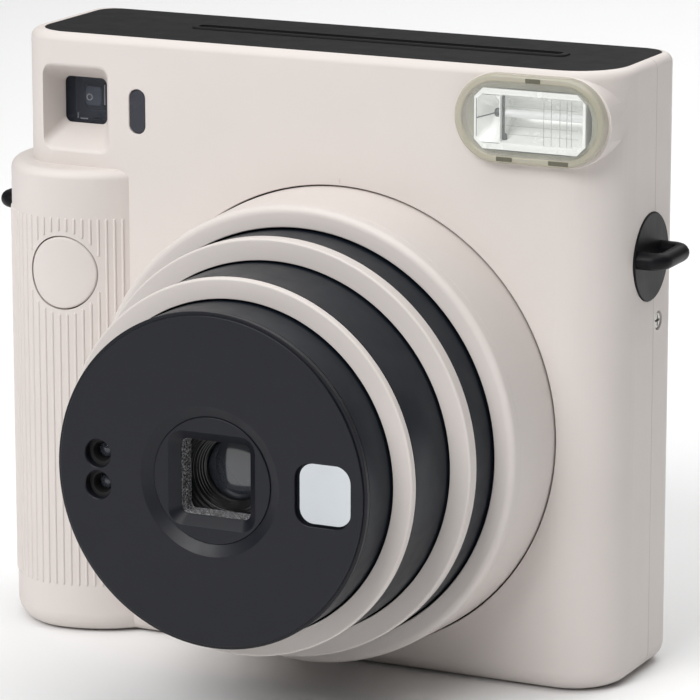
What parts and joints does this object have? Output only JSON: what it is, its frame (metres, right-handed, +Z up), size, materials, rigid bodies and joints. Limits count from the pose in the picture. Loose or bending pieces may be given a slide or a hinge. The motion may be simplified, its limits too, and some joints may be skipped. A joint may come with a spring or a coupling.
{
  "type": "instant camera",
  "caption": "Instant camera for square prints: cream body with ribbed grip, drawn-out telescoping lens with mirror, flash, top print slot and strap loops.",
  "frame": {"origin": "centre of the body's base, on the surface it stands on", "axes": "+X towards the flash side, -Y out through the lens, +Z up"},
  "size_m": [0.1432, 0.0873, 0.119],
  "materials": {
    "cream_plastic": "fine matte moulding texture, warm cream",
    "black_plastic": "fine matte moulding texture, charcoal",
    "barrel_plastic": "satin, blue-black",
    "inner_plastic": "matte black",
    "white_plastic": "natural white gear plastic",
    "clear_plastic": "clear with a slight warm tint",
    "lens_glass": "coated glass",
    "mirror_coat": "polished",
    "steel": "bright",
    "brass": "turned",
    "circuit_board": "solder mask",
    "cell_sleeve": "printed sleeve, no lettering"
  },
  "bodies": {
    "body": {"front_shell": "cream_plastic", "grip_cover": "cream_plastic", "back_shell": "cream_plastic", "top_panel": "black_plastic", "side_screw": "steel", "right_strap_lug": "black_plastic", "left_strap_lug": "black_plastic", "lens_sleeve": "inner_plastic", "film_chamber_frame": "inner_plastic", "film_cassette": "black_plastic", "roller_bracket": "steel", "drive_motor": "steel", "battery_holder": "inner_plastic", "lower_battery": "cell_sleeve", "upper_battery": "cell_sleeve", "main_circuit_board": "circuit_board", "shutter_switch": "inner_plastic", "flash_capacitor": "black_plastic", "finder_window": "lens_glass", "finder_tube": "inner_plastic", "finder_eyepiece": "lens_glass", "light_sensor_window": "black_plastic", "counter_window": "clear_plastic", "flash_cap": "clear_plastic", "flash_reflector": "mirror_coat", "flash_tube": "lens_glass", "lower_hinge_pin": "steel", "upper_hinge_pin": "steel"},
    "power_ring": {"power_ring": "cream_plastic"},
    "barrel_stage_1": {"barrel_stage_1": "barrel_plastic", "barrel_cap_1": "cream_plastic"},
    "barrel_stage_2": {"barrel_stage_2": "barrel_plastic", "barrel_cap_2": "cream_plastic"},
    "barrel_stage_3": {"barrel_stage_3": "barrel_plastic", "front_disc": "black_plastic", "selfie_mirror": "mirror_coat", "upper_light_cell": "inner_plastic", "lower_light_cell": "inner_plastic", "lens_frame": "black_plastic", "lens_cell": "inner_plastic", "front_lens": "lens_glass", "rear_lens": "lens_glass", "shutter_plate": "inner_plastic"},
    "shutter_blade_left": {"shutter_blade_left": "inner_plastic"},
    "shutter_blade_right": {"shutter_blade_right": "inner_plastic"},
    "shutter_button": {"shutter_button": "cream_plastic"},
    "film_door": {"film_door": "cream_plastic", "pack_window": "clear_plastic", "film_pressure_plate": "steel"},
    "door_latch": {"door_latch": "black_plastic"},
    "battery_door": {"battery_door": "cream_plastic"},
    "rear_roller": {"rear_roller": "steel", "rear_roller_gear": "white_plastic"},
    "front_roller": {"front_roller": "steel", "front_roller_gear": "white_plastic"},
    "idler_gear": {"idler_gear": "white_plastic"},
    "drive_gear": {"drive_gear": "white_plastic"},
    "motor_worm": {"motor_worm": "brass"},
    "film_claw": {"film_claw": "steel"},
    "film_counter_wheel": {"film_counter_wheel": "white_plastic"}
  },
  "joints": [
    {"name": "power_ring_turn", "type": "hinge", "parent": "body", "child": "power_ring", "pos_m": [0.00955, -0.01665, 0.0487], "axis": [0, -1, 0], "range_deg": [-60, 10]},
    {"name": "stage_1_slide", "type": "slide", "parent": "body", "child": "barrel_stage_1", "axis": [0, -1, 0], "range_m": [-0.0078, 0.0013]},
    {"name": "stage_2_slide", "type": "slide", "parent": "barrel_stage_1", "child": "barrel_stage_2", "axis": [0, -1, 0], "range_m": [-0.0132, 0.0022]},
    {"name": "stage_3_slide", "type": "slide", "parent": "barrel_stage_2", "child": "barrel_stage_3", "axis": [0, -1, 0], "range_m": [-0.0081, 0.00135]},
    {"name": "shutter_left_swing", "type": "hinge", "parent": "barrel_stage_3", "child": "shutter_blade_left", "pos_m": [-0.00195, -0.05355, 0.058], "axis": [0, 1, 0], "range_deg": [0, 35], "stiffness_Nm_per_rad": 0.001, "springref_deg": -11.46},
    {"name": "shutter_right_swing", "type": "hinge", "parent": "barrel_stage_3", "child": "shutter_blade_right", "pos_m": [0.02105, -0.05275, 0.058], "axis": [0, 1, 0], "range_deg": [-35.5, 0.5]},
    {"name": "shutter_button_press", "type": "slide", "parent": "body", "child": "shutter_button", "axis": [0, 1, 0], "range_m": [0, 0.0012], "stiffness_N_per_m": 500, "springref_m": -0.0006},
    {"name": "film_door_swing", "type": "hinge", "parent": "body", "child": "film_door", "pos_m": [0.0595, 0.01485, 0.055], "axis": [0, 0, -1], "range_deg": [0, 100]},
    {"name": "door_latch_slide", "type": "slide", "parent": "body", "child": "door_latch", "axis": [0, 0, -1], "range_m": [0, 0.0055], "stiffness_N_per_m": 150, "springref_m": -0.002},
    {"name": "battery_door_swing", "type": "hinge", "parent": "body", "child": "battery_door", "pos_m": [-0.064, 0.01295, 0.04], "axis": [0, 0, -1], "range_deg": [0, 100]},
    {"name": "rear_roller_turn", "type": "hinge", "parent": "body", "child": "rear_roller", "pos_m": [0.01, 0.00475, 0.107], "axis": [1, 0, 0], "continuous": true},
    {"name": "front_roller_turn", "type": "hinge", "parent": "body", "child": "front_roller", "pos_m": [0.01, -0.00365, 0.107], "axis": [1, 0, 0], "continuous": true},
    {"name": "idler_gear_turn", "type": "hinge", "parent": "body", "child": "idler_gear", "pos_m": [0.0549, 0.00475, 0.0956], "axis": [1, 0, 0], "continuous": true},
    {"name": "drive_gear_turn", "type": "hinge", "parent": "body", "child": "drive_gear", "pos_m": [0.0549, 0.00475, 0.0812], "axis": [1, 0, 0], "continuous": true},
    {"name": "motor_turn", "type": "hinge", "parent": "body", "child": "motor_worm", "pos_m": [0.0549, -0.0054, 0.075], "axis": [0, 0, 1], "continuous": true},
    {"name": "film_claw_slide", "type": "slide", "parent": "body", "child": "film_claw", "axis": [0, 0, 1], "range_m": [0, 0.004]},
    {"name": "counter_wheel_turn", "type": "hinge", "parent": "body", "child": "film_counter_wheel", "pos_m": [-0.0415, 0.01295, 0.026], "axis": [0, 1, 0], "range_deg": [0, 330]}
  ],
  "couplings": [
    {"joint": "stage_1_slide", "follows": "power_ring_turn", "m_per_rad": 0.0074485},
    {"joint": "stage_2_slide", "follows": "power_ring_turn", "m_per_rad": 0.012605},
    {"joint": "stage_3_slide", "follows": "power_ring_turn", "m_per_rad": 0.0077349},
    {"joint": "shutter_right_swing", "follows": "shutter_left_swing", "ratio": -1},
    {"joint": "front_roller_turn", "follows": "rear_roller_turn", "ratio": -1},
    {"joint": "idler_gear_turn", "follows": "rear_roller_turn", "ratio": -0.58333},
    {"joint": "drive_gear_turn", "follows": "rear_roller_turn", "ratio": 0.58333},
    {"joint": "motor_turn", "follows": "rear_roller_turn", "ratio": 14}
  ]
}
